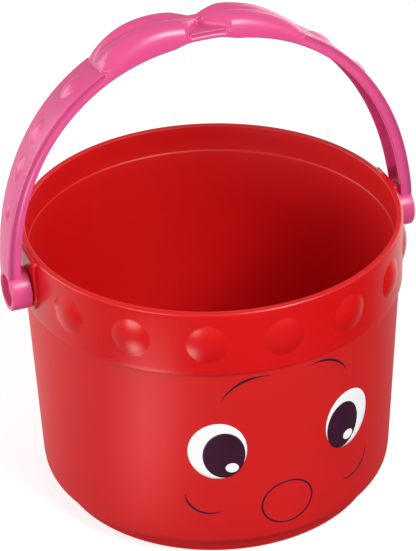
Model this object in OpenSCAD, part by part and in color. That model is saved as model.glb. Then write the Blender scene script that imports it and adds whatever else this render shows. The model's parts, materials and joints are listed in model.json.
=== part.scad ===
// Toy sand bucket with a bail handle that swings on two moulded studs.
// Origin: centre of the ground plane under the foot ring.
// +Z is up, the studs lie along X, and the printed face looks towards -Y.

/* [Bucket] */
// Overall height of the bucket without the handle
bucket_h = 139; // [136:1:142]
// Outside radius of the rim band
rim_r = 90; // [90:0.1:90.4]
// Height of the raised rim band
band_h = 32.2; // [31.5:0.1:33]
// How far the wall sits back under the rim band
band_step = 1.3; // [1:0.1:1.6]
// Width of the lip at the very top
lip_w = 3.2; // [3:0.1:3.6]
// Wall radius lost from the rim band down to the foot
wall_taper = 4.4; // [3.6:0.1:5]

/* [Rim domes] */
// Number of places round the rim; two of them hold the pivot pads
dome_places = 16; // [16:1:16]
// Diameter of one dome
dome_d = 18.6; // [16:0.1:19.5]
// How far a dome stands out of the band
dome_rise = 1.8; // [1:0.1:2.2]
// Height of the dome centres below the lip
dome_drop = 15.9; // [15:0.1:17]

/* [Pivot] */
// Height of the pivot axis below the lip
pivot_drop = 18; // [17:0.1:19]
// Radius of the stud where the handle turns on it
stud_r = 5.5; // [5:0.1:6]
// Running clearance between the stud and the bore of the eye
stud_gap = 0.06; // [0.03:0.01:0.1]
// Radius of the snap head at the end of the stud
head_r = 6.6; // [6.4:0.1:6.9]
// Half the width of the flat pad behind the handle eye
pad_half_w = 11.3; // [10.8:0.1:12]
// Length of the snap head up to its domed end
head_len = 3; // [1.5:0.1:3.1]
// Distance of the pad face from the middle of the bucket
pad_x = 91; // [90.8:0.1:91.1]

/* [Handle] */
// Distance of the strap's outer face from the middle at the pivots
bail_a = 101.7; // [101.4:0.1:102.2]
// Height of the strap's outer face above the pivots
bail_h = 111; // [108:0.1:116]
// Roundness of the arch, where 2 is an ellipse and more is squarer
bail_round = 2.18; // [2.05:0.01:2.3]
// Depth of the side flanges of the strap near the pivots
flange_d = 6; // [5:0.1:6.2]
// Depth of the side flanges at the top of the arch
flange_top = 4.8; // [4:0.1:5.2]
// Thickness of the web and of the flanges
strap_wall = 1.7; // [1.5:0.1:2]
// Strap width at the pivots
strap_w_low = 13; // [12.5:0.1:14.5]
// Strap width at the top of the arch
strap_w_top = 26.2; // [24:0.1:28]
// Backward lean of the standing handle in degrees
lean = 7.4; // [5:0.1:8]
// Outside radius of the eye boss
eye_r = 9.9; // [9.6:0.1:10.3]

/* [Bow] */
// Length of the bow from tip to tip
bow_len = 108; // [100:1:112]
// How far the loops of the bow rise above the strap
bow_rise = 7.2; // [5:0.1:8]

/* [Print] */
// Turn of the printed face round the bucket in degrees
face_turn = 1.8; // [0:0.1:3]
// Thickness of the ink
ink_t = 0.12; // [0.1:0.01:0.15]
// Width of the drawn lines at their middle
line_w = 1.1; // [0.8:0.1:1.4]

/* [Hidden] */

$fn = 96;
faceted = 32;

bucket_red = [0.85, 0.12, 0.13];
handle_pink = [0.91, 0.35, 0.57];
ink_white = [0.97, 0.97, 0.97];
ink_dark = [0.24, 0.09, 0.18];

// Bucket profile: radii and heights
lip_edge = 1.2;
lip_inner_edge = 0.8;
band_edge = 0.6;
wall_top_r = rim_r - band_step;
wall_low_r = wall_top_r - wall_taper;
skirt_z = 8.2;
skirt_edge = 4.5;
band_low_z = bucket_h - band_h;
foot_r = 77;
foot_top_r = 78.2;
foot_in_r = 74.6;
foot_edge = 0.8;
under_floor_z = 8.8;
floor_z = 11.3;
floor_fillet = 5;
inner_top_r = rim_r - lip_w;
ledge_z = bucket_h - 13.4;
ledge_step = 0.8;
ledge_drop = 1.1;
inner_low_r = 82.2;

// Pivot: the eye of the handle runs from its inner face to its outer face
pivot_z = bucket_h - pivot_drop;
eye_inner_x = pad_x + 0.45;
eye_outer_x = bail_a - 0.4;
shoulder_x = eye_inner_x + 5.3;
bore_r = stud_r + stud_gap;
recess_r = head_r + 0.9;
head_x = shoulder_x + 0.45;
head_end_x = head_x + head_len;
head_dome = 0.8;
pad_in_x = rim_r - 2.4;
pad_top_drop = 0.5;

// Domes are caps of a large ball
cap_half = dome_d / 2;
ball_r = (cap_half * cap_half + dome_rise * dome_rise) / (2 * dome_rise);
dome_z = bucket_h - dome_drop;
dome_pitch = 360 / dome_places;
pad_place = dome_places / 4;

// Handle arch
arch_steps = 60;
strap_slope = (strap_w_top - strap_w_low) / bail_h;

// Bumps on each arm: angle along the arch, length, width and rise
bumps = [[55, 14, 10.5, 1.7], [40, 13, 9.5, 1.5], [29.5, 12, 7.5, 1.3], [18, 8, 5, 1]];

// Face layout on the front of the wall, in millimetres as seen from the front
eye_x = 32.4;
eye_z = 63.5;
eye_half_w = 12.6;
eye_half_h = 15.6;
pupil_shift = 2.6;
pupil_drop = 2.4;
pupil_half_w = 9.2;
pupil_half_h = 12.6;
glint_shift = 3.4;
glint_drop = 9.6;
glint_half_w = 2.9;
glint_half_h = 2.6;
nose_z = 29.3;
nose_half_w = 12.6;
nose_half_h = 11.8;

// Points on a circular arc in the radius and height plane
function arc_points(centre_r, centre_z, radius, from, to, steps) =
    [for (i = [0:steps]) let (t = from + (to - from) * i / steps)
        [centre_r + radius * cos(t), centre_z + radius * sin(t)]];

// Wall radius at a height on the tapered outside
function wall_r(z) = wall_low_r + wall_taper * (z - skirt_z) / (band_low_z - skirt_z);

// One point of the arch: half width a, height h, at an angle from the pivot line
function arch_point(a, h, t) = [
    a * sign(cos(t)) * pow(abs(cos(t)), 2 / bail_round),
    h * pow(abs(sin(t)), 2 / bail_round)];

// Direction of the arch's outward normal as an angle from +X
function arch_normal(t) =
    let (p = arch_point(bail_a, bail_h, t - 0.5), q = arch_point(bail_a, bail_h, t + 0.5))
    atan2(q[1] - p[1], q[0] - p[0]) - 90;

// Solid of revolution that gives the whole wall, floor and foot ring
module bucket_shell() {
    rotate_extrude()
    polygon(concat(
        [[foot_in_r, 0]],
        arc_points(foot_r - foot_edge, foot_edge, foot_edge, -90, 0, 3),
        [[foot_top_r, skirt_z]],
        arc_points(wall_low_r - skirt_edge, skirt_z + skirt_edge, skirt_edge, -90, 0, 4),
        [[wall_top_r, band_low_z]],
        arc_points(rim_r - band_edge, band_low_z + band_edge, band_edge, -90, 0, 3),
        arc_points(rim_r - lip_edge, bucket_h - lip_edge, lip_edge, 0, 90, 5),
        arc_points(inner_top_r + lip_inner_edge, bucket_h - lip_inner_edge, lip_inner_edge, 90, 180, 4),
        [[inner_top_r - 0.2, ledge_z], [inner_top_r - 0.2 - ledge_step, ledge_z - ledge_drop]],
        arc_points(inner_low_r - floor_fillet, floor_z + floor_fillet, floor_fillet, 0, -90, 6),
        [[0, floor_z], [0, under_floor_z], [foot_in_r - 0.4, under_floor_z]]));
}

// Shallow lens-shaped domes round the rim band, none where the pads are
module rim_domes() {
    intersection() {
        rotate_extrude()
        translate([rim_r - 1.5, band_low_z])
        square([dome_rise + 3, band_h]);
        union() {
            for (place = [0:dome_places - 1])
                if (place != pad_place && place != dome_places - pad_place)
                    rotate([0, 0, -90 + place * dome_pitch])
                    translate([rim_r + dome_rise - ball_r, 0, dome_z])
                    sphere(r = ball_r);
        }
    }
}

// Flat tongue-shaped pad behind one handle eye
module pivot_pad() {
    translate([pad_in_x, 0, pivot_z])
    rotate([90, 0, 90])
    linear_extrude(pad_x - pad_in_x)
    union() {
        circle(r = pad_half_w);
        translate([-pad_half_w, 0])
        square([2 * pad_half_w, pivot_drop - pad_top_drop]);
    }
}

// Stud with a snap head that keeps the eye on
module pivot_stud() {
    translate([0, 0, pivot_z])
    rotate([0, 90, 0])
    rotate_extrude()
    polygon([
        [0, pad_x - 1],
        [stud_r, pad_x - 1],
        [stud_r, head_x],
        [head_r, head_x],
        [head_r, head_end_x - 0.8],
        [head_r - 0.9, head_end_x],
        [head_r - 3.2, head_end_x + head_dome * 0.75],
        [0, head_end_x + head_dome]]);
}

module bucket() {
    color(bucket_red)
    union() {
        bucket_shell();
        rim_domes();
        for (side = [0, 180])
            rotate([0, 0, side]) {
                pivot_pad();
                pivot_stud();
            }
    }
}

// Filled arch outline, smaller than the outer face by one inset at the pivots and one at the top
module arch_area(inset, top_inset) {
    polygon([for (i = [0:arch_steps])
        arch_point(bail_a - inset, bail_h - top_inset, 180 * i / arch_steps)]);
}

// Filled arch as a slab that is narrower at the pivots than at the top
module arch_slab(inset, top_inset, side_inset) {
    low = strap_w_low / 2 - side_inset;
    top = strap_w_top / 2 - side_inset;
    intersection() {
        rotate([90, 0, 0])
        linear_extrude(2 * strap_w_top, center = true)
        arch_area(inset, top_inset);
        rotate([90, 0, 90])
        linear_extrude(3 * bail_a, center = true)
        polygon([[-low, -1], [low, -1], [top, bail_h + 1], [-top, bail_h + 1]]);
    }
}

// Channel-section strap: an outer web with a flange along each side
module strap() {
    difference() {
        arch_slab(0, 0, 0);
        arch_slab(flange_d, flange_top, -5);
        arch_slab(strap_wall, strap_wall, strap_wall);
    }
}

// Oval bumps on the outer face of both arms
module strap_bumps() {
    for (side = [0, 180])
        rotate([0, 0, side])
        for (bump = bumps) {
            spot = arch_point(bail_a, bail_h, bump[0]);
            translate([spot[0], 0, spot[1]])
            rotate([0, -arch_normal(bump[0]), 0])
            intersection() {
                scale([bump[3], bump[2] / 2, bump[1] / 2])
                sphere(r = 1, $fn = faceted);
                translate([-strap_wall / 2, -bump[2], -bump[1]])
                cube([strap_wall + bump[3], 2 * bump[2], 2 * bump[1]]);
            }
        }
}

// Height of the arch's outer face at a distance from the middle
function arch_top(x) = bail_h * pow(1 - pow(x / bail_a, bail_round), 1 / bail_round);

// Ball inside a bow lobe whose top stands a given rise above the strap
module lobe_ball(x, y, radius, rise) {
    translate([x, y, arch_top(x) + rise - radius])
    sphere(r = radius, $fn = faceted);
}

// One lobe of the bow, thin at the knot and full towards its end
module bow_lobe() {
    tip = bow_len / 2;
    hull() {
        lobe_ball(3, 4.6, 3.2, bow_rise * 0.4);
        lobe_ball(tip * 0.42, 6.4, 8, bow_rise);
        lobe_ball(tip - 10.5, 5.8, 7.2, bow_rise * 0.75);
    }
}

// Ribbon bow on top: two loops, each split lengthwise into two lobes
module bow() {
    difference() {
        union() {
            for (side = [0, 1])
                for (half = [0, 1])
                    mirror([side, 0, 0])
                    mirror([0, half, 0])
                    bow_lobe();
            translate([0, 0, bail_h])
            scale([6, 11, 2.4])
            sphere(r = 1, $fn = faceted);
        }
        rotate([90, 0, 0])
        linear_extrude(4 * strap_w_top, center = true)
        arch_area(strap_wall, strap_wall);
    }
}

// Round eye at the foot of one arm, before it is bored
module eye_boss() {
    translate([eye_inner_x, 0, 0])
    rotate([0, 90, 0])
    cylinder(r = eye_r, h = eye_outer_x - eye_inner_x);
}

// Bore for the stud and the wider recess round its snap head
module eye_bore() {
    translate([eye_inner_x - 3, 0, 0])
    rotate([0, 90, 0])
    cylinder(r = bore_r, h = shoulder_x - eye_inner_x + 4);
    translate([shoulder_x, 0, 0])
    rotate([0, 90, 0])
    cylinder(r = recess_r, h = 20);
}

module handle() {
    color(handle_pink)
    translate([0, 0, pivot_z])
    rotate([-lean, 0, 0])
    difference() {
        union() {
            strap();
            strap_bumps();
            bow();
            for (side = [0, 180])
                rotate([0, 0, side])
                eye_boss();
        }
        for (side = [0, 180])
            rotate([0, 0, side])
            eye_bore();
    }
}

// Thin skin of ink thickness on the tapered wall
module wall_skin() {
    low = skirt_z + 4;
    high = band_low_z - 1;
    rotate_extrude()
    polygon([
        [wall_r(low), low],
        [wall_r(low) + ink_t, low],
        [wall_r(high) + ink_t, high],
        [wall_r(high), high]]);
}

// Extrudes a flat drawing onto the front of the bucket
module onto_front() {
    rotate([90, 0, face_turn])
    linear_extrude(rim_r + 5)
    children();
}

// An ellipse in the drawing plane
module oval(x, z, half_w, half_h) {
    translate([x, z])
    scale([half_w, half_h])
    circle(r = 1);
}

// White of both eyes
module eye_ovals() {
    for (side = [-1, 1])
        oval(side * eye_x, eye_z, eye_half_w, eye_half_h);
}

// Dark pupils, set towards the nose and low in the eye
module pupil_ovals() {
    for (side = [-1, 1])
        oval(side * (eye_x - pupil_shift), eye_z - pupil_drop, pupil_half_w, pupil_half_h);
}

// Small light spots low in the pupils
module glint_ovals() {
    for (side = [-1, 1])
        oval(side * (eye_x - pupil_shift) + glint_shift, eye_z - glint_drop, glint_half_w, glint_half_h);
}

// A line that follows a circle and is pointed at both ends, like a thin moon
module moon_line(x, z, radius, from, to, width) {
    steps = 24;
    translate([x, z])
    polygon(concat(
        [for (i = [0:steps]) let (t = from + (to - from) * i / steps)
            (radius + width / 2 * (0.12 + sin(180 * i / steps))) * [cos(t), sin(t)]],
        [for (i = [steps:-1:0]) let (t = from + (to - from) * i / steps)
            (radius - width / 2 * (0.12 + sin(180 * i / steps))) * [cos(t), sin(t)]]));
}

// Two brows, two cheeks and a plain ring for the nose
module face_lines() {
    for (side = [0, 1])
        mirror([side, 0]) {
            moon_line(13.5, 84.5, 19, 22, 104, line_w);
            moon_line(35.5, 38.2, 10.4, -118, 4, line_w);
        }
    difference() {
        oval(0, nose_z, nose_half_w, nose_half_h);
        oval(0, nose_z, nose_half_w - line_w * 0.8, nose_half_h - line_w * 0.8);
    }
}

module white_print() {
    color(ink_white)
    intersection() {
        wall_skin();
        onto_front()
        union() {
            difference() {
                eye_ovals();
                pupil_ovals();
            }
            glint_ovals();
        }
    }
}

module dark_print() {
    color(ink_dark)
    intersection() {
        wall_skin();
        onto_front()
        union() {
            difference() {
                pupil_ovals();
                glint_ovals();
            }
            face_lines();
        }
    }
}

bucket();
handle();
white_print();
dark_print();
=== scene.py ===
import json
import bmesh
import bpy
import numpy as np
from mathutils import Matrix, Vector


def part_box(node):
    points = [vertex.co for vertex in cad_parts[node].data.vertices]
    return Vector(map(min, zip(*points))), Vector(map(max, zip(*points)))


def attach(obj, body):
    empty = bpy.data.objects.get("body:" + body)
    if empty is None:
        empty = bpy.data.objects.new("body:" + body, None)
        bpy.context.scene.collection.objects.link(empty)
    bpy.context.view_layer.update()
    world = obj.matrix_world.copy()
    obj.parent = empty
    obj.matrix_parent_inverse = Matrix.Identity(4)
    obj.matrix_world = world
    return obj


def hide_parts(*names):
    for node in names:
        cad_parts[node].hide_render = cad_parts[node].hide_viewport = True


# Toy sand bucket: red moulding, pink bail with a ribbon bow, printed face.
# Shapes are worked out in millimetres and turned into metres when a mesh is made.
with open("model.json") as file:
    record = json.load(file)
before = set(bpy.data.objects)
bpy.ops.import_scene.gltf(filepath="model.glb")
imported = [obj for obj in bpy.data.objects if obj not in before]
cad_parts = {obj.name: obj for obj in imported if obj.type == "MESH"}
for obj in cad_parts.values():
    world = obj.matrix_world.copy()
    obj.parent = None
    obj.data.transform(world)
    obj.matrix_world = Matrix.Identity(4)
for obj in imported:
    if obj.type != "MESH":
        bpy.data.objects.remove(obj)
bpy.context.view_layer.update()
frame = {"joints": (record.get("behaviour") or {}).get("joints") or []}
mm = 0.001
weldGap = 2e-6

pivotHeight = frame["joints"][0]["pos_m"][2] / mm
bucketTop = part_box("bucket")[1].z / mm
print("frame loaded, pivot at", round(pivotHeight, 2), "mm")


def smoothStep(x, low, high):
    # 0 below low, 1 above high, and 3t^2 - 2t^3 between them
    t = np.clip((np.asarray(x, float) - low) / (high - low), 0, 1)
    return t * t * (3 - 2 * t)


def arcPath(centreR, centreZ, radius, start, end, count):
    # count points on a circle of that radius, from start to end degrees
    t = np.radians(np.linspace(start, end, count))
    return np.stack([centreR + radius * np.cos(t), centreZ + radius * np.sin(t)], -1)


def gridQuads(rows, cols, wrap):
    # Corner numbers of each cell of a rows x cols grid; wrap joins the last column to the first
    r, c = np.meshgrid(np.arange(rows - 1), np.arange(cols if wrap else cols - 1), indexing="ij")
    right = (c + 1) % cols
    quads = np.stack([r * cols + c, r * cols + right, (r + 1) * cols + right, (r + 1) * cols + c], -1)
    return quads.reshape(-1, 4)


def meshFromGrids(name, grids, material, body):
    # grids: list of (points array rows x cols x 3 in mm, wrap, flip); all become one smooth mesh
    points, quads, base = [], [], 0
    for grid, wrap, flip in grids:
        cells = gridQuads(grid.shape[0], grid.shape[1], wrap)
        quads.append((cells[:, ::-1] if flip else cells) + base)
        points.append(grid.reshape(-1, 3))
        base += len(points[-1])
    points, quads = np.concatenate(points) * mm, np.concatenate(quads)
    mesh = bpy.data.meshes.new(name)
    mesh.from_pydata(points.tolist(), [], quads.tolist())
    shaped = bmesh.new()
    shaped.from_mesh(mesh)
    bmesh.ops.remove_doubles(shaped, verts=shaped.verts, dist=weldGap)  # closes seams and poles
    shaped.to_mesh(mesh)
    shaped.free()
    mesh.polygons.foreach_set("use_smooth", np.ones(len(mesh.polygons), bool))
    mesh.materials.append(material)
    piece = bpy.data.objects.new(name, mesh)
    bpy.context.scene.collection.objects.link(piece)
    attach(piece, body)
    return piece


def turnedGrid(profile, columns):
    # Surface of revolution about Z: profile rows of (radius, height), one column per angle
    t = np.linspace(0, 2 * np.pi, columns, endpoint=False)
    r, z = profile[:, 0, None], profile[:, 1, None]
    return np.stack([r * np.cos(t), r * np.sin(t), z + 0 * t], -1)


def linear(r, g, b):
    # Screen colour 0..255 to linear light
    c = np.array([r, g, b]) / 255
    return (*np.where(c <= 0.04045, c / 12.92, ((c + 0.055) / 1.055) ** 2.4).tolist(), 1)


def mathNode(nodes, links, operation, *values):
    # One maths step; a value may be a number or another node's output
    node = nodes.new("ShaderNodeMath")
    node.operation = operation
    for i, value in enumerate(values):
        if isinstance(value, (int, float)):
            node.inputs[i].default_value = value
        else:
            links.new(value, node.inputs[i])
    return node.outputs[0]


def rangeNode(nodes, links, value, low, high, bottom, top):
    # Straight line from bottom at low to top at high, level beyond both
    node = nodes.new("ShaderNodeMapRange")
    links.new(value, node.inputs["Value"])
    for slot, number in (("From Min", low), ("From Max", high), ("To Min", bottom), ("To Max", top)):
        node.inputs[slot].default_value = number
    return node.outputs["Result"]


def objectPlace(nodes, links):
    # X, Y and Z in the object's own metres, and the distance from its Z axis, sqrt(x^2 + y^2)
    place, split = nodes.new("ShaderNodeTexCoord"), nodes.new("ShaderNodeSeparateXYZ")
    links.new(place.outputs["Object"], split.inputs["Vector"])
    x, y, z = (split.outputs[axis] for axis in "XYZ")
    squares = [mathNode(nodes, links, "MULTIPLY", v, v) for v in (x, y)]
    return x, y, z, mathNode(nodes, links, "SQRT", mathNode(nodes, links, "ADD", *squares))


skinLook = dict(
    grainDetail=3, cloudDetail=4, cloudRough=0.55, cloudShare=0.25, cloudLow=0.3, cloudHigh=0.7,
    bumpDepth=0.0002, ior=1.5)


def mouldGrainGroup(look):
    # Moulded plastic skin. Cloud is a broad soft noise; Height is fine even grain + cloudShare * Cloud
    group = bpy.data.node_groups.new("mouldGrain", "ShaderNodeTree")
    for label in ("Grain Size", "Cloud Size"):
        group.interface.new_socket(label, in_out="INPUT", socket_type="NodeSocketFloat")
    for label in ("Height", "Cloud"):
        group.interface.new_socket(label, in_out="OUTPUT", socket_type="NodeSocketFloat")
    nodes, links = group.nodes, group.links
    given, made = nodes.new("NodeGroupInput"), nodes.new("NodeGroupOutput")
    place = nodes.new("ShaderNodeTexCoord")
    grain, cloud = nodes.new("ShaderNodeTexNoise"), nodes.new("ShaderNodeTexNoise")
    grain.inputs["Detail"].default_value = look["grainDetail"]
    cloud.inputs["Detail"].default_value = look["cloudDetail"]
    cloud.inputs["Roughness"].default_value = look["cloudRough"]
    for noise, label in ((grain, "Grain Size"), (cloud, "Cloud Size")):
        links.new(place.outputs["Object"], noise.inputs["Vector"])
        links.new(given.outputs[label], noise.inputs["Scale"])
    parts = (cloud.outputs["Fac"], look["cloudShare"], grain.outputs["Fac"])
    links.new(mathNode(nodes, links, "MULTIPLY_ADD", *parts), made.inputs["Height"])
    links.new(cloud.outputs["Fac"], made.inputs["Cloud"])
    return group


mouldGrain = mouldGrainGroup(skinLook)


def plasticMaterial(name, look):
    # Principled plastic: base colour drifts between two near tones, and roughness between two values,
    # with the same cloud. Where the look has a polished corner, it is roughness + polish outside of that
    # radius and above that height
    material = bpy.data.materials.new(name)
    material.use_nodes = True
    nodes, links = material.node_tree.nodes, material.node_tree.links
    shader, skin = nodes["Principled BSDF"], nodes.new("ShaderNodeGroup")
    skin.node_tree = mouldGrain
    skin.inputs["Grain Size"].default_value = look["grainSize"]
    skin.inputs["Cloud Size"].default_value = look["cloudSize"]
    tone, bump = nodes.new("ShaderNodeMix"), nodes.new("ShaderNodeBump")
    tone.data_type = "RGBA"
    tone.inputs["A"].default_value = look["deep"]
    tone.inputs["B"].default_value = look["light"]
    bump.inputs["Strength"].default_value = look["bump"]
    bump.inputs["Distance"].default_value = skinLook["bumpDepth"]
    cloud = skin.outputs["Cloud"]
    rough = rangeNode(nodes, links, cloud, skinLook["cloudLow"], skinLook["cloudHigh"], *look["rough"])
    if "polished" in look:
        _, _, z, radius = objectPlace(nodes, links)
        borders = [rangeNode(nodes, links, v, low * mm, (low + look["border"]) * mm, 0, 1)
                   for v, low in zip((radius, z), look["polished"])]
        polished = mathNode(nodes, links, "MULTIPLY", *borders)
        rough = mathNode(nodes, links, "MULTIPLY_ADD", polished, look["polish"], rough)
    links.new(cloud, tone.inputs["Factor"])
    links.new(skin.outputs["Height"], bump.inputs["Height"])
    links.new(tone.outputs["Result"], shader.inputs["Base Color"])
    links.new(rough, shader.inputs["Roughness"])
    links.new(bump.outputs["Normal"], shader.inputs["Normal"])
    shader.inputs["IOR"].default_value = skinLook["ior"]
    shader.inputs["Specular IOR Level"].default_value = look["shine"]
    return material


# polished: radius and height of the corner beyond which the band and the lip are glossier
redLook = dict(
    deep=linear(200, 4, 8), light=linear(212, 8, 11), rough=(0.46, 0.52),
    polish=-0.21, polished=(87.2, bucketTop - 32.7), border=0.5,
    grainSize=2600, cloudSize=14, bump=0.10, shine=0.5)
pinkLook = dict(
    deep=linear(210, 69, 127), light=linear(220, 81, 138), rough=(0.26, 0.33),
    grainSize=2600, cloudSize=18, bump=0.08, shine=0.5)
whiteLook = dict(
    deep=linear(240, 240, 242), light=linear(252, 252, 252), rough=(0.34, 0.4),
    grainSize=2600, cloudSize=30, bump=0.06, shine=0.4)
darkLook = dict(
    deep=linear(52, 16, 38), light=linear(66, 26, 50), rough=(0.34, 0.42),
    grainSize=2600, cloudSize=60, bump=0.06, shine=0.4)

redPlastic = plasticMaterial("redPlastic", redLook)
pinkPlastic = plasticMaterial("pinkPlastic", pinkLook)
whiteInk = plasticMaterial("whiteInk", whiteLook)
darkInk = plasticMaterial("darkInk", darkLook)
print("materials made")


# R is a radius, Z a height above the ground, Edge and Fillet the rounding of a corner
bucket = dict(
    rimR=90, bandH=32.2, bandStep=1.3, lipW=3.2, lipDraft=0.18, taper=4.4,
    lipEdge=1.2, lipInnerEdge=0.8, bandEdge=0.6, underBandFillet=0.5,
    skirtZ=8.2, skirtEdge=4.5, footR=77, footTopR=78.2, footInR=74.6, footEdge=0.8, footInEdge=0.5,
    underFloorZ=8.8, underFloorFillet=1, floorZ=11.3, floorFillet=5,
    innerLowR=82.2, innerLowZ=20, underLedgeR=1.1, underLedgeZ=4,
    ledgeDepth=13.4, ledgeStep=0.5, ledgeRise=0.2, ledgeDrop=0.9,
    columns=480)
bandLowZ = bucketTop - bucket["bandH"]
wallTopR = bucket["rimR"] - bucket["bandStep"]
wallLowR = wallTopR - bucket["taper"]


def wallRadius(z):
    # The outside of the wall is a cone: radius grows evenly from the skirt to the band
    return wallLowR + bucket["taper"] * (z - bucket["skirtZ"]) / (bandLowZ - bucket["skirtZ"])


def bucketProfile(b):
    # Closed outline in (radius, height): foot ring, skirt, wall, band, lip, ledge, inner wall, floor
    innerTopR = b["rimR"] - b["lipW"]
    ledgeZ = bucketTop - b["ledgeDepth"]
    ledgeRows = np.linspace(b["ledgeRise"], -b["ledgeDrop"], 9)
    stepped = smoothStep(-ledgeRows, -b["ledgeRise"], b["ledgeDrop"])
    ledgeR = innerTopR - b["lipDraft"] - b["ledgeStep"] * stepped
    wallRows = np.linspace(b["skirtZ"] + b["skirtEdge"] + 2, bandLowZ - 0.9, 14)
    up = np.array([0.97, 0.8, 0.6, 0.4, 0.2, 0.05])  # shares of the inner wall's height
    innerR = b["innerLowR"] + (innerTopR - b["underLedgeR"] - b["innerLowR"]) * up
    innerZ = b["innerLowZ"] + (ledgeZ - b["underLedgeZ"] - b["innerLowZ"]) * up
    cove, footIn, underFloor = b["underBandFillet"], b["footInEdge"], b["underFloorFillet"]
    parts = [
        [[0, b["underFloorZ"]], [b["footInR"] - 2, b["underFloorZ"]]],
        arcPath(b["footInR"] - 0.4 - underFloor, b["underFloorZ"] - underFloor, underFloor, 90, 0, 5),
        [[b["footInR"] - 0.05, footIn + 0.1]],
        arcPath(b["footInR"] + footIn, footIn, footIn, 180, 270, 4),
        arcPath(b["footR"] - b["footEdge"], b["footEdge"], b["footEdge"], -90, 0, 6),
        [[b["footTopR"] - 0.1, b["skirtZ"] - 0.7], [b["footTopR"] + 0.1, b["skirtZ"] - 0.2],
         [b["footTopR"] + 0.6, b["skirtZ"]]],
        arcPath(wallLowR - b["skirtEdge"], b["skirtZ"] + b["skirtEdge"], b["skirtEdge"], -90, 0, 9),
        np.stack([wallRadius(wallRows), wallRows], -1),
        arcPath(wallTopR + cove, bandLowZ - cove, cove, 180, 100, 5),
        arcPath(b["rimR"] - b["bandEdge"], bandLowZ + b["bandEdge"], b["bandEdge"], -80, 0, 6),
        np.stack([np.full(8, b["rimR"]), np.linspace(bandLowZ + 3, bucketTop - 4, 8)], -1),
        arcPath(b["rimR"] - b["lipEdge"], bucketTop - b["lipEdge"], b["lipEdge"], 0, 90, 9),
        arcPath(innerTopR + b["lipInnerEdge"], bucketTop - b["lipInnerEdge"], b["lipInnerEdge"],
                90, 180, 7),
        [[innerTopR - 0.1, bucketTop - 6]],
        np.stack([ledgeR, ledgeZ + ledgeRows], -1),
        np.stack([innerR, innerZ], -1),
        arcPath(b["innerLowR"] - b["floorFillet"], b["floorZ"] + b["floorFillet"], b["floorFillet"],
                0, -90, 10),
        [[b["innerLowR"] - b["floorFillet"] - 3, b["floorZ"]], [0, b["floorZ"]]]]
    return np.concatenate([np.asarray(p, float) for p in parts])


dome = dict(count=16, halfW=9.3, rise=1.8, drop=15.9, softness=0.1, skirt=0.7, buried=0.1,
            innerRings=12, edgeRings=8, spokes=72)


def domeGrid(d, place):
    # Cap of a large ball on the band: height = sqrt(ball^2 - distance^2) less what is buried,
    # eased into the band at its edge so that no gap shows
    ball = (d["halfW"] ** 2 + d["rise"] ** 2) / (2 * d["rise"])
    half, end = d["halfW"], d["halfW"] + d["skirt"]
    middle, edge = np.linspace(0, half - 1, d["innerRings"]), np.linspace(half - 0.8, end, d["edgeRings"])
    far = np.concatenate([middle, edge])
    cap = np.sqrt(ball ** 2 - far ** 2) - (ball - d["rise"])
    buried = d["buried"] * smoothStep(far, half, end)
    height = (cap + np.sqrt(cap ** 2 + d["softness"] ** 2)) / 2 - buried
    spoke = np.linspace(0, 2 * np.pi, d["spokes"], endpoint=False)
    along, up = far[:, None] * np.cos(spoke), far[:, None] * np.sin(spoke)
    turn = np.radians(-90 + place * 360 / d["count"]) + along / bucket["rimR"]
    r = bucket["rimR"] + height[:, None]
    return np.stack([r * np.cos(turn), r * np.sin(turn), bucketTop - d["drop"] + up], -1)


# edge: steps outwards in the plane, and along X, that round the pad's rim into the band
pad = dict(
    faceX=91, halfW=11.3, topDrop=0.4, square=14, spokes=160, fill=(0, 0.3, 0.6, 0.8),
    edge=((-1.6, 0), (-0.7, 0), (-0.4, -0.05), (-0.18, -0.16), (-0.05, -0.36), (0, -0.7), (0.04, -1.4),
          (0.06, -2.2)))


def padGrid(p, side):
    # Tongue outline: half a circle below the pivot, straight sides above. Rings grow out to it and round
    # over its edge
    t = np.linspace(0, 2 * np.pi, p["spokes"], endpoint=False)
    c, s = np.cos(t), np.sin(t)
    top = bucketTop - p["topDrop"] - pivotHeight
    n = p["square"]
    boxed = (np.abs(c / p["halfW"]) ** n + (np.abs(s) / top) ** n) ** (1 / n)
    reach = np.where(s < 0, p["halfW"], 1 / boxed)
    outline = np.stack([reach * c, reach * s], -1)
    tangent = np.roll(outline, -1, 0) - np.roll(outline, 1, 0)
    normal = np.stack([tangent[:, 1], -tangent[:, 0]], -1) / np.linalg.norm(tangent, axis=1)[:, None]
    rings = [(outline * k, 0) for k in p["fill"]]
    rings += [(outline + normal * step, height) for step, height in p["edge"]]
    grid = np.stack([np.column_stack([np.full(len(t), p["faceX"] + h), ring]) for ring, h in rings])
    grid[..., 2] += pivotHeight
    grid[..., :2] *= side
    return grid


stud = dict(r=5.5, headR=6.6, startX=88.5, headX=97.2, endX=99.0, domeH=0.8, columns=64)


def studProfile(s):
    # Outline along the stud: shaft, snap head with rounded edges, shallow domed end
    return np.array([
        [s["r"], s["startX"]], [s["r"], s["headX"] - 0.2],
        [s["r"] + 0.1, s["headX"] - 0.03], [s["r"] + 0.3, s["headX"]],
        [s["headR"] - 0.2, s["headX"]], [s["headR"] - 0.05, s["headX"] + 0.06],
        [s["headR"], s["headX"] + 0.2], [s["headR"], s["endX"] - 0.9],
        [s["headR"] - 0.08, s["endX"] - 0.6], [s["headR"] - 0.4, s["endX"] - 0.2],
        [s["headR"] - 0.9, s["endX"]], [s["headR"] - 2, s["endX"] + 0.35 * s["domeH"]],
        [s["headR"] - 3.4, s["endX"] + 0.72 * s["domeH"]],
        [s["headR"] - 5, s["endX"] + 0.94 * s["domeH"]],
        [0, s["endX"] + s["domeH"]]])


def alongX(grid, side, height):
    # Turns a grid made about Z so that its axis lies along +X or -X at that height
    return np.stack([grid[..., 2] * side, grid[..., 0] * side, grid[..., 1] + height], -1)


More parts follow.
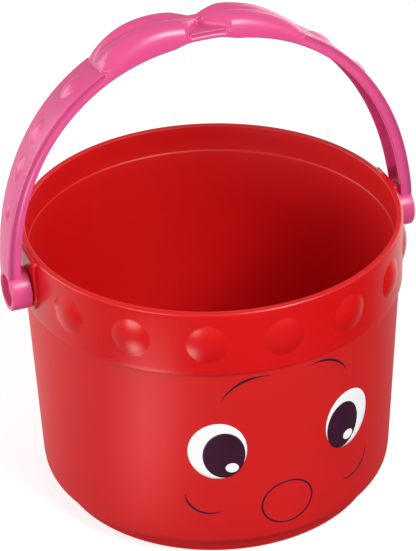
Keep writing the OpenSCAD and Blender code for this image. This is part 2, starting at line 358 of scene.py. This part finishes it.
bucketGrids = [(turnedGrid(bucketProfile(bucket), bucket["columns"]), True, False)]
padPlaces = (dome["count"] // 4, dome["count"] * 3 // 4)
for place in range(dome["count"]):
    if place not in padPlaces:
        bucketGrids.append((domeGrid(dome, place), True, True))
for side in (1, -1):
    bucketGrids.append((padGrid(pad, side), True, True))
    studGrid = turnedGrid(studProfile(stud), stud["columns"])
    bucketGrids.append((alongX(studGrid, side, pivotHeight), True, False))
bucketPiece = meshFromGrids("bucketMoulding", bucketGrids, redPlastic, "bucket")
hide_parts("bucket")
print("bucket made:", len(bucketPiece.data.polygons), "faces")


bail = dict(
    halfSpan=101.62, height=111, roundness=2.18, lean=7.4, lowW=13, topW=26.2,
    flangeTop=4.4, flangeBow=5.7, flange=5.8, flangeLow=6.2,
    underBow=(7, 17), downArm=(35, 80), atPivot=(90, 160),
    wall=1.7, edge=0.8, footEdge=0.45, crown=0.3,
    endGap=8.6, endLow=3, endBlend=20, solidEnd=13, fineTo=60, fineCount=241, armCount=95)

# Distances along the strap are from the knot; the two loops differ a little
bow = dict(
    tip=53, waist=2.6, least=0.6, overhang=1.2, openPower=0.9, endStart=38, endPower=3, tail=7,
    mergeFrom=1.5, mergeTo=0.3,
    left=dict(spread=10, rise=7.0, peakAt=26, lead=7.5, endAt=51.5),
    right=dict(spread=15, rise=5.6, peakAt=17, lead=8, endAt=51),
    backFullness=0.85, frontFullness=0.55, pinch=0.35, pinchAt=1.5, pinchW=1.2,
    crease=0.36, creaseFall=2.2, creaseShift=3, shiftFrom=(18, 46), shiftEnd=8,
    lobeAt=0.45, lobePower=2.2, wrap=3.3)


def archPoints(b, t):
    # Superellipse arch: x = span * cos^(2/n), z = height * sin^(2/n)
    c, s = np.cos(t), np.sin(t)
    return np.stack([b["halfSpan"] * np.sign(c) * np.abs(c) ** (2 / b["roundness"]),
                     b["height"] * np.abs(s) ** (2 / b["roundness"])], -1)


# Arch resampled by arc length from the top; + runs towards +X
fineT = np.linspace(0, np.pi, 20001)
fineP = archPoints(bail, fineT)
fineS = np.concatenate([[0], np.cumsum(np.linalg.norm(np.diff(fineP, axis=0), axis=1))])
halfArch = fineS[-1] / 2
fineS = halfArch - fineS
slopeStep = 0.2


def archAt(s):
    # Point and outward normal of the arch at arc length s from the top; the normal is a quarter turn
    # from the line between the points a small step before and after
    onArch = lambda at: [np.interp(at, fineS[::-1], fineP[::-1, axis]) for axis in (0, 1)]
    (x, z), (x1, z1), (x0, z0) = onArch(s), onArch(s + slopeStep), onArch(s - slopeStep)
    tx, tz = x1 - x0, z1 - z0
    size = np.hypot(tx, tz)
    return x, z, -tz / size, tx / size


def strapWidth(z):
    # Width grows evenly with height from the pivots to the top
    return bail["lowW"] + (bail["topW"] - bail["lowW"]) * z / bail["height"]


def onStrap(s, v, h):
    # Strap coordinates (along, across, outwards) to handle space; across + is towards the back
    x, z, nx, nz = archAt(s)
    return np.stack([x + nx * h, v + 0 * x, z + nz * h], -1)


def leaned(points):
    # Handle space to bucket space: leans back about the pivot line, then up to the pivots
    a = np.radians(-bail["lean"])
    y = points[..., 1] * np.cos(a) - points[..., 2] * np.sin(a)
    z = points[..., 1] * np.sin(a) + points[..., 2] * np.cos(a)
    return np.stack([points[..., 0], y, z + pivotHeight], -1)


def loopHeight(a, loop, fullness):
    # Quarter of a sine from the knot up to the loop's peak, then cos^fullness down to its end
    climbed = np.clip((a + loop["lead"]) / (loop["peakAt"] + loop["lead"]), 0, 1)
    fallen = np.clip((a - loop["peakAt"]) / (loop["endAt"] - loop["peakAt"]), 0, 1)
    up, down = np.sin(np.pi / 2 * climbed), np.cos(np.pi / 2 * fallen) ** fullness
    return loop["rise"] * np.where(a < loop["peakAt"], up, down)


def bowHeight(s, w, toBack):
    # Height of the left or the right loop; in front a narrow pinch beside the knot parts the two
    fullness = w["backFullness"] if toBack else w["frontFullness"]
    left, right = loopHeight(-s, w["left"], fullness), loopHeight(s, w["right"], fullness)
    pinch = 0 if toBack else w["pinch"] * np.exp(-((s - w["pinchAt"]) / w["pinchW"]) ** 2)
    return np.where(s < 0, left, right) * (1 - pinch)


def bowHalfWidth(s, w, halfStrap):
    # Planform: narrow waist, out past the strap's edges, then a blunt round end
    a = np.abs(s)
    full = halfStrap + w["overhang"]
    spread = np.where(s < 0, w["left"]["spread"], w["right"]["spread"])
    opened = w["waist"] + (full - w["waist"]) * np.clip(a / spread, 0, 1) ** w["openPower"]
    k = np.clip((a - w["endStart"]) / (w["tip"] - w["endStart"]), 0, 1)
    rounded = opened * np.clip(1 - k ** w["endPower"], 0, 1) ** (1 / w["endPower"])
    return np.where(a < w["tip"], rounded, w["tail"] * smoothStep(a, w["tip"], w["tip"] + w["tail"]))


def flangeDepth(a, b):
    # Depth of the flanges at a distance from the knot: shallow at the knot, deeper under the loops and
    # deepest near the pivots, with smooth steps between
    return (b["flangeTop"]
            + (b["flangeBow"] - b["flangeTop"]) * smoothStep(a, *b["underBow"])
            + (b["flange"] - b["flangeBow"]) * smoothStep(a, *b["downArm"])
            + (b["flangeLow"] - b["flange"]) * smoothStep(a, *b["atPivot"]))


def halfSection(s, b, w, toBack):
    # Outline of half the strap's section at every station, from the crease on top, over the lobe, the
    # edge and the flange, to the middle of the inner face. Across and outwards values, stations x points.
    # shift moves the crease to one side; merged is 1 where the bow hangs over the strap's edge, else 0
    col = lambda v: np.asarray(v)[:, None]
    a, z = np.abs(s), archAt(s)[1]
    half = strapWidth(z) / 2
    flatTo = half - b["edge"]
    onLoop = smoothStep(a, *w["shiftFrom"]) * (1 - smoothStep(a, w["tip"], w["tip"] + w["shiftEnd"]))
    shift = w["creaseShift"] * onLoop * (1 if toBack else -1)
    width = np.maximum(bowHalfWidth(s, w, half), w["least"])
    rise = np.where(a < w["tip"], bowHeight(s, w, toBack), 0)
    merged = smoothStep(width, flatTo - w["mergeFrom"], half + w["mergeTo"]) * (a < w["tip"])
    width = np.minimum(width, flatTo + merged * (half - flatTo))
    toFoot = np.maximum(width - shift, 0.3)  # distance from the crease to the lobe's foot
    half, flatTo, shift, width = col(half), col(flatTo), col(shift), col(width)
    rise, merged, toFoot = col(rise), col(merged), col(toFoot)

    # crease to the top of the lobe
    k = np.linspace(0, 1, 12)[None, :-1]
    rows = [(shift + k * w["lobeAt"] * toFoot, rise * (1 - w["crease"] * (1 - k) ** w["creaseFall"]))]

    # lobe top down to its foot, a quarter of a superellipse
    q = np.linspace(np.pi / 2, 0, 20)[None, :-1]
    lobeTop, foot = shift + w["lobeAt"] * toFoot, -merged * w["wrap"]
    power = 2 / w["lobePower"]
    rows.append((lobeTop + (width - lobeTop) * np.cos(q) ** power,
                 foot + (rise - foot) * np.sin(q) ** power))

    # flat rest of the top, which shrinks to nothing where the bow hangs over the edge
    k = np.linspace(0, 1, 9)[None, :-1]
    rows.append(((1 - merged) * (width + (flatTo - width) * k) + merged * half,
                 -merged * (w["wrap"] + 0.05 * k)))

    # rounded edge, a quarter of a circle
    e, k = np.radians(np.linspace(90, 0, 7))[None, :], np.linspace(0, 1, 7)[None, :]
    rows.append(((1 - merged) * (flatTo + b["edge"] * np.cos(e)) + merged * half,
                 (1 - merged) * b["edge"] * (np.sin(e) - 1) - merged * (w["wrap"] + 0.05 + 0.2 * k)))

    # foot of the flange
    deep = col(flangeDepth(a, b))
    f = np.radians(np.linspace(0, -90, 5))[None, :]
    rows.append((half + b["footEdge"] * (np.cos(f) - 1), b["footEdge"] * (np.sin(f) + 1) - deep))

    # inner side of the flange; near the pivots the channel fills up
    wallIn = half - b["wall"]
    channel = (deep - b["wall"]) * col(smoothStep(z, b["endGap"] - 2, b["solidEnd"])) - deep
    rows.append((wallIn + np.array([[0.35, 0.08, 0, 0, -0.15, -0.7]]),
                 (channel + deep) * np.array([[0, 0.08, 0.25, 0.8, 0.95, 1]]) - deep))

    # inner face to its middle
    k = np.linspace(1, 0, 7)[None, 1:]
    rows.append(((wallIn - 0.7) * k, channel + 0 * k))
    across, out = (np.concatenate(part, 1) for part in zip(*rows))
    crown = b["crown"] * np.clip(across / half, 0, 1) ** 2 * (1 - merged) * (out > -b["edge"])
    return across, out - crown


def strapGrid(b, w):
    # The whole strap: both half sections joined into one closed outline and carried along the arch
    near, arm = b["fineTo"], b["armCount"]
    underBow = np.linspace(-near, near, b["fineCount"])[1:-1]  # closer stations there
    s = np.concatenate([np.linspace(-halfArch, -near, arm), underBow, np.linspace(near, halfArch, arm)])
    frontV, frontH = halfSection(s, b, w, False)
    backV, backH = halfSection(s, b, w, True)
    v = np.concatenate([-frontV[:, ::-1][:, :-1], backV[:, :-1]], 1)
    h = np.concatenate([frontH[:, ::-1][:, :-1], backH[:, :-1]], 1)
    grid = onStrap(np.repeat(s[:, None], v.shape[1], 1), v, h)
    # both lower ends stop on a circle round the pivot, so the recess in the eye stays open
    low = np.sqrt(np.clip(b["endGap"] ** 2 - v ** 2, b["endLow"] ** 2, None))
    blend, z = b["endBlend"], grid[..., 2]
    grid[..., 2] = np.where(z < blend, low + (blend - low) * z / blend, z)
    return grid


# Each bump: angle on the arch, length, width, rise
bumps = ((55, 14, 10.5, 1.6), (40, 13, 9.5, 1.5), (29.5, 12.4, 7.8, 1.3), (18, 8.4, 5.2, 0.9))
bumpShape = dict(skirt=1.12, softness=0.004, buried=0.12, spokes=48)


def bumpGrid(angle, length, wide, rise):
    # Oval cap on the strap: height = rise * (1 - distance^2) to a soft edge, which is buried in the strap
    u, s0 = bumpShape, np.interp(np.radians(angle), fineT, fineS)
    far = np.concatenate([np.linspace(0, 0.85, 9), np.linspace(0.9, u["skirt"], 7)])
    cap = 1 - far ** 2
    height = rise * (cap + np.sqrt(cap ** 2 + u["softness"])) / 2
    height -= u["buried"] * smoothStep(far, 1, u["skirt"])
    spoke = np.linspace(0, 2 * np.pi, u["spokes"], endpoint=False)
    s = s0 + far[:, None] * np.cos(spoke) * length / 2
    v = far[:, None] * np.sin(spoke) * wide / 2
    half = strapWidth(archAt(s)[1]) / 2
    return onStrap(s, v, height[:, None] - bail["crown"] * (v / half) ** 2)


eye = dict(
    r=9.9, innerX=91.45, outerX=101.3, shoulderX=96.75, boreR=5.56, recessR=7.5, edge=0.9, rimEdge=0.5,
    innerEdge=0.7, columns=96)


def eyeProfile(e):
    # Outline of the eye boss: bore, shoulder, recess, rounded rim, outside, rounded inner rim; closed on
    # itself
    rim, inner = e["rimEdge"], e["innerEdge"]
    return np.concatenate([
        [[e["boreR"], e["innerX"] + 0.3], [e["boreR"], e["shoulderX"] - 0.2],
         [e["boreR"] + 0.15, e["shoulderX"]], [e["recessR"] - 0.4, e["shoulderX"]],
         [e["recessR"] - 0.1, e["shoulderX"] + 0.1], [e["recessR"], e["shoulderX"] + 0.4],
         [e["recessR"], e["outerX"] - rim]],
        arcPath(e["recessR"] + rim, e["outerX"] - rim, rim, 180, 90, 5),
        arcPath(e["r"] - e["edge"], e["outerX"] - e["edge"], e["edge"], 90, 0, 7),
        arcPath(e["r"] - inner, e["innerX"] + inner, inner, 0, -90, 6),
        [[e["boreR"] + 0.3, e["innerX"]], [e["boreR"], e["innerX"] + 0.3]]])


handleGrids = [(leaned(strapGrid(bail, bow)), True, False)]
for side in (1, -1):
    for bump in bumps:
        grid = bumpGrid(*bump)
        grid[..., 0] *= side
        handleGrids.append((leaned(grid), True, side < 0))
    eyeGrid = turnedGrid(eyeProfile(eye), eye["columns"])
    handleGrids.append((leaned(alongX(eyeGrid, side, 0)), True, True))
handlePiece = meshFromGrids("handleMoulding", handleGrids, pinkPlastic, "handle")
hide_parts("handle")
print("handle made:", len(handlePiece.data.polygons), "faces")


# Widths and heights of the ovals are halves; brow and cheek are x, z, radius, start and end angle
face = dict(
    turn=1.8, eyeX=32.4, eyeZ=63.5, eyeW=12.6, eyeH=15.6,
    pupilShift=2.6, pupilDrop=2.4, pupilW=9.2, pupilH=12.6,
    glintShift=3.4, glintDrop=9.6, glintW=2.9, glintH=2.6,
    noseZ=29.3, noseW=12.6, noseH=11.8, line=1.1, noseLine=0.88, lineEnd=0.12,
    brow=(13.5, 84.5, 19, 22, 104), cheek=(35.5, 38.2, 10.4, -118, 4),
    inkStep=0.05, tuck=-0.05, rings=14, spokes=96, lineSteps=90)


def onWall(x, z, lift):
    # Drawing coordinates to the tapered wall, a small lift above it: the angle's sine is x / radius
    r = wallRadius(z) + lift
    turn = np.arcsin(np.clip(x / r, -1, 1)) + np.radians(face["turn"])
    return np.stack([r * np.sin(turn), -r * np.cos(turn), z], -1)


def ovalGrid(x, z, halfW, halfH, layer):
    # Filled oval on its ink layer: rings out from its middle, the last one repeated, tucked under the wall
    far = np.append(np.linspace(0, 1, face["rings"]), 1)[:, None]
    spoke = np.linspace(0, 2 * np.pi, face["spokes"], endpoint=False)
    lifts = np.full((len(far), len(spoke)), layer * face["inkStep"])
    lifts[-1] = face["tuck"]
    return onWall(x + far * halfW * np.cos(spoke), z + far * halfH * np.sin(spoke), lifts)


def strokeGrid(centre, radii, sweep, width, side, pointed):
    # A line along an oval arc, its two sides tucked under the wall. When pointed it is thin at both ends:
    # thickness = width * (lineEnd + sin(pi t))
    t = np.linspace(0, 1, face["lineSteps"])
    angle = np.radians(sweep[0] + (sweep[1] - sweep[0]) * t)
    thick = width / 2 * ((face["lineEnd"] + np.sin(np.pi * t)) if pointed else np.ones_like(t))
    across = np.array([-1, -1, -0.4, 0.4, 1, 1])[:, None]
    lifts = np.full((len(across), len(t)), face["inkStep"])
    lifts[[0, -1]] = face["tuck"]
    px = (radii[0] + across * thick) * np.cos(angle) + centre[0]
    pz = (radii[1] + across * thick) * np.sin(angle) + centre[1]
    return onWall(px * side, pz, lifts)


def facePrint(f):
    # Grids of white and of dark ink: eyes, pupils and glints are layers 1, 2 and 3, and lines are layer 1
    white, dark = [], []
    for side in (-1, 1):
        pupilX, pupilZ = side * (f["eyeX"] - f["pupilShift"]), f["eyeZ"] - f["pupilDrop"]
        glintX, glintZ = pupilX + f["glintShift"], f["eyeZ"] - f["glintDrop"]
        white.append((ovalGrid(side * f["eyeX"], f["eyeZ"], f["eyeW"], f["eyeH"], 1), True, False))
        dark.append((ovalGrid(pupilX, pupilZ, f["pupilW"], f["pupilH"], 2), True, False))
        white.append((ovalGrid(glintX, glintZ, f["glintW"], f["glintH"], 3), True, False))
        for x, z, r, start, end in (f["brow"], f["cheek"]):
            line = strokeGrid((x, z), (r, r), (start, end), f["line"], side, True)
            dark.append((line, False, side > 0))
    nose = strokeGrid((0, f["noseZ"]), (f["noseW"], f["noseH"]), (0, 360), f["noseLine"], 1, False)
    dark.append((nose, False, True))
    return white, dark


whiteGrids, darkGrids = facePrint(face)
whitePiece = meshFromGrids("whitePrint", whiteGrids, whiteInk, "bucket")
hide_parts("white_print")
darkPiece = meshFromGrids("darkPrint", darkGrids, darkInk, "bucket")
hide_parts("dark_print")
print("face printed")


# paintedReflection: painted reflection, the floor as the object's gloss sees it (glossy rays only), in
# metres and degrees
studio = dict(
    floorHalf=6.0, floorCells=8, floorTone=0.4, floorGlow=0.72, floorRough=0.9,
    worldTone=(1, 1, 1), worldPower=0.4,
    paintedReflection=dict(front=0.0, back=0.9, backFrom=-0.1, backTo=0.12,
                  paintedSheenCard=6.2, cardTurn=-53, cardSpread=11, cardReach=0.19, cardDepth=0.05))

lamps = dict(
    key=dict(place=(0.55, -1.3, 1.35), aim=(0, 0, 0.1), size=(0.7, 0.6), power=28),
    fill=dict(place=(-1.0, -0.66, 0.24), aim=(0, 0, 0.08), size=(0.6, 0.38), power=5),
    backLeft=dict(place=(-1.1, 0.75, 0.6), aim=(0, 0, 0.14), size=(1.2, 0.8), power=10),
    backRight=dict(place=(1.2, 0.8, 0.4), aim=(0, 0, 0.12), size=(1.2, 0.8), power=6))


def makeFloor(st):
    # Pale floor. The camera sees it lifted by an even glow. For glossy rays its colour is black and its
    # glow is a painted reflection:
    #  dim in front and brighter behind, with a painted bright patch of sheen to the front left:
    #  paintedSheenCard * exp(-away^2 - off^2), where away and off are the turn and the reach from the
    #  patch's middle over its spread and its depth
    m, count = st["paintedReflection"], st["floorCells"] + 1
    t = np.linspace(-1, 1, count) * st["floorHalf"]
    grid = np.stack(np.broadcast_arrays(t[None, :], t[:, None], 0.0), -1)
    mesh = bpy.data.meshes.new("studioFloor")
    mesh.from_pydata(grid.reshape(-1, 3).tolist(), [], gridQuads(count, count, False).tolist())
    material = bpy.data.materials.new("paleFloor")
    material.use_nodes = True
    nodes, links = material.node_tree.nodes, material.node_tree.links
    shader, rays = nodes["Principled BSDF"], nodes.new("ShaderNodeLightPath")
    step = lambda operation, *values: mathNode(nodes, links, operation, *values)
    x, y, _, reach = objectPlace(nodes, links)
    back = rangeNode(nodes, links, y, m["backFrom"], m["backTo"], m["front"], m["back"])
    cardTurn, cardSpread = np.radians([m["cardTurn"], m["cardSpread"]]).tolist()
    turn = step("ARCTAN2", x, step("MULTIPLY", y, -1))
    away = step("DIVIDE", step("SUBTRACT", turn, cardTurn), cardSpread)
    off = step("DIVIDE", step("SUBTRACT", reach, m["cardReach"]), m["cardDepth"])
    spread = step("ADD", step("MULTIPLY", away, away), step("MULTIPLY", off, off))
    paintedSheenCard = step("MULTIPLY", step("EXPONENT", step("MULTIPLY", spread, -1)), m["paintedSheenCard"])
    # painted reflection: this glow reaches glossy rays only and paints a sheen and highlights onto the
    # object
    gloss = step("MULTIPLY", step("ADD", back, paintedSheenCard), rays.outputs["Is Glossy Ray"])
    strength = step("MULTIPLY_ADD", rays.outputs["Is Camera Ray"], st["floorGlow"], gloss)
    # painted reflection: glossy rays see the floor black, apart from its painted glow
    tone = nodes.new("ShaderNodeMix")
    tone.data_type = "RGBA"
    tone.inputs["A"].default_value = (st["floorTone"], st["floorTone"], st["floorTone"], 1)
    tone.inputs["B"].default_value = (0, 0, 0, 1)
    links.new(rays.outputs["Is Glossy Ray"], tone.inputs["Factor"])
    links.new(tone.outputs["Result"], shader.inputs["Base Color"])
    links.new(strength, shader.inputs["Emission Strength"])
    shader.inputs["Emission Color"].default_value = (1, 1, 1, 1)
    shader.inputs["Roughness"].default_value = st["floorRough"]
    shader.inputs["Specular IOR Level"].default_value = 0
    mesh.materials.append(material)
    floor = bpy.data.objects.new("studioFloor", mesh)
    bpy.context.scene.collection.objects.link(floor)


def placeMatrix(right, up, back, place):
    # Matrix that lays an object's own X, Y and Z along right, up and back, at a place
    return Matrix(np.vstack([np.column_stack([right, up, back, place]), [0, 0, 0, 1]]).tolist())


def softBox(name, place, aim, size, power):
    # Rectangular area light at a place, turned so that it faces a point and its long side stays level
    light = bpy.data.lights.new(name, "AREA")
    light.shape = "RECTANGLE"
    light.size, light.size_y = size
    light.energy = power
    lamp = bpy.data.objects.new(name, light)
    away = np.subtract(place, aim)
    away /= np.linalg.norm(away)
    right = np.cross([0, 0, 1], away)
    right /= np.linalg.norm(right)
    lamp.matrix_world = placeMatrix(right, np.cross(away, right), away, place)
    bpy.context.scene.collection.objects.link(lamp)


def makeWorld(st):
    # The same soft pale light from every direction
    world = bpy.data.worlds.new("studioWorld")
    world.use_nodes = True
    back = world.node_tree.nodes["Background"]
    back.inputs["Color"].default_value = (*st["worldTone"], 1)
    back.inputs["Strength"].default_value = st["worldPower"]
    bpy.context.scene.world = world


view = dict(
    distance=1.26, azimuth=-20.63, above=29.90, pitch=31.234, roll=1.478, sideways=0.104,
    lens=175.93, sensor=36, near=0.05, far=50)


def makeCamera(v):
    # Camera on a sphere round the middle of the rim, at an azimuth and a height angle. Its pitch, its
    # roll and a small sideways aim are set on their own
    a, e, p, r = np.radians([v["azimuth"], v["above"], v["pitch"], v["roll"]])
    place = np.array([np.sin(a) * np.cos(e), -np.cos(a) * np.cos(e), np.sin(e)]) * v["distance"]
    place[2] += bucketTop * mm
    turn = a + np.radians(v["sideways"])
    back = np.array([np.sin(turn) * np.cos(p), -np.cos(turn) * np.cos(p), np.sin(p)])
    level = np.array([np.cos(turn), np.sin(turn), 0])
    rising = np.cross(back, level)
    right, up = level * np.cos(r) - rising * np.sin(r), level * np.sin(r) + rising * np.cos(r)
    camera = bpy.data.objects.new("studioCamera", bpy.data.cameras.new("studioCamera"))
    camera.data.lens = v["lens"]
    camera.data.sensor_width = v["sensor"]
    camera.data.clip_start = v["near"]
    camera.data.clip_end = v["far"]
    camera.matrix_world = placeMatrix(right, up, back, place)
    bpy.context.scene.collection.objects.link(camera)
    bpy.context.scene.camera = camera


makeFloor(studio)
makeWorld(studio)
for name, lamp in lamps.items():
    softBox(name + "SoftBox", **lamp)
makeCamera(view)
bpy.context.scene.view_settings.view_transform = "Standard"
print("studio made")
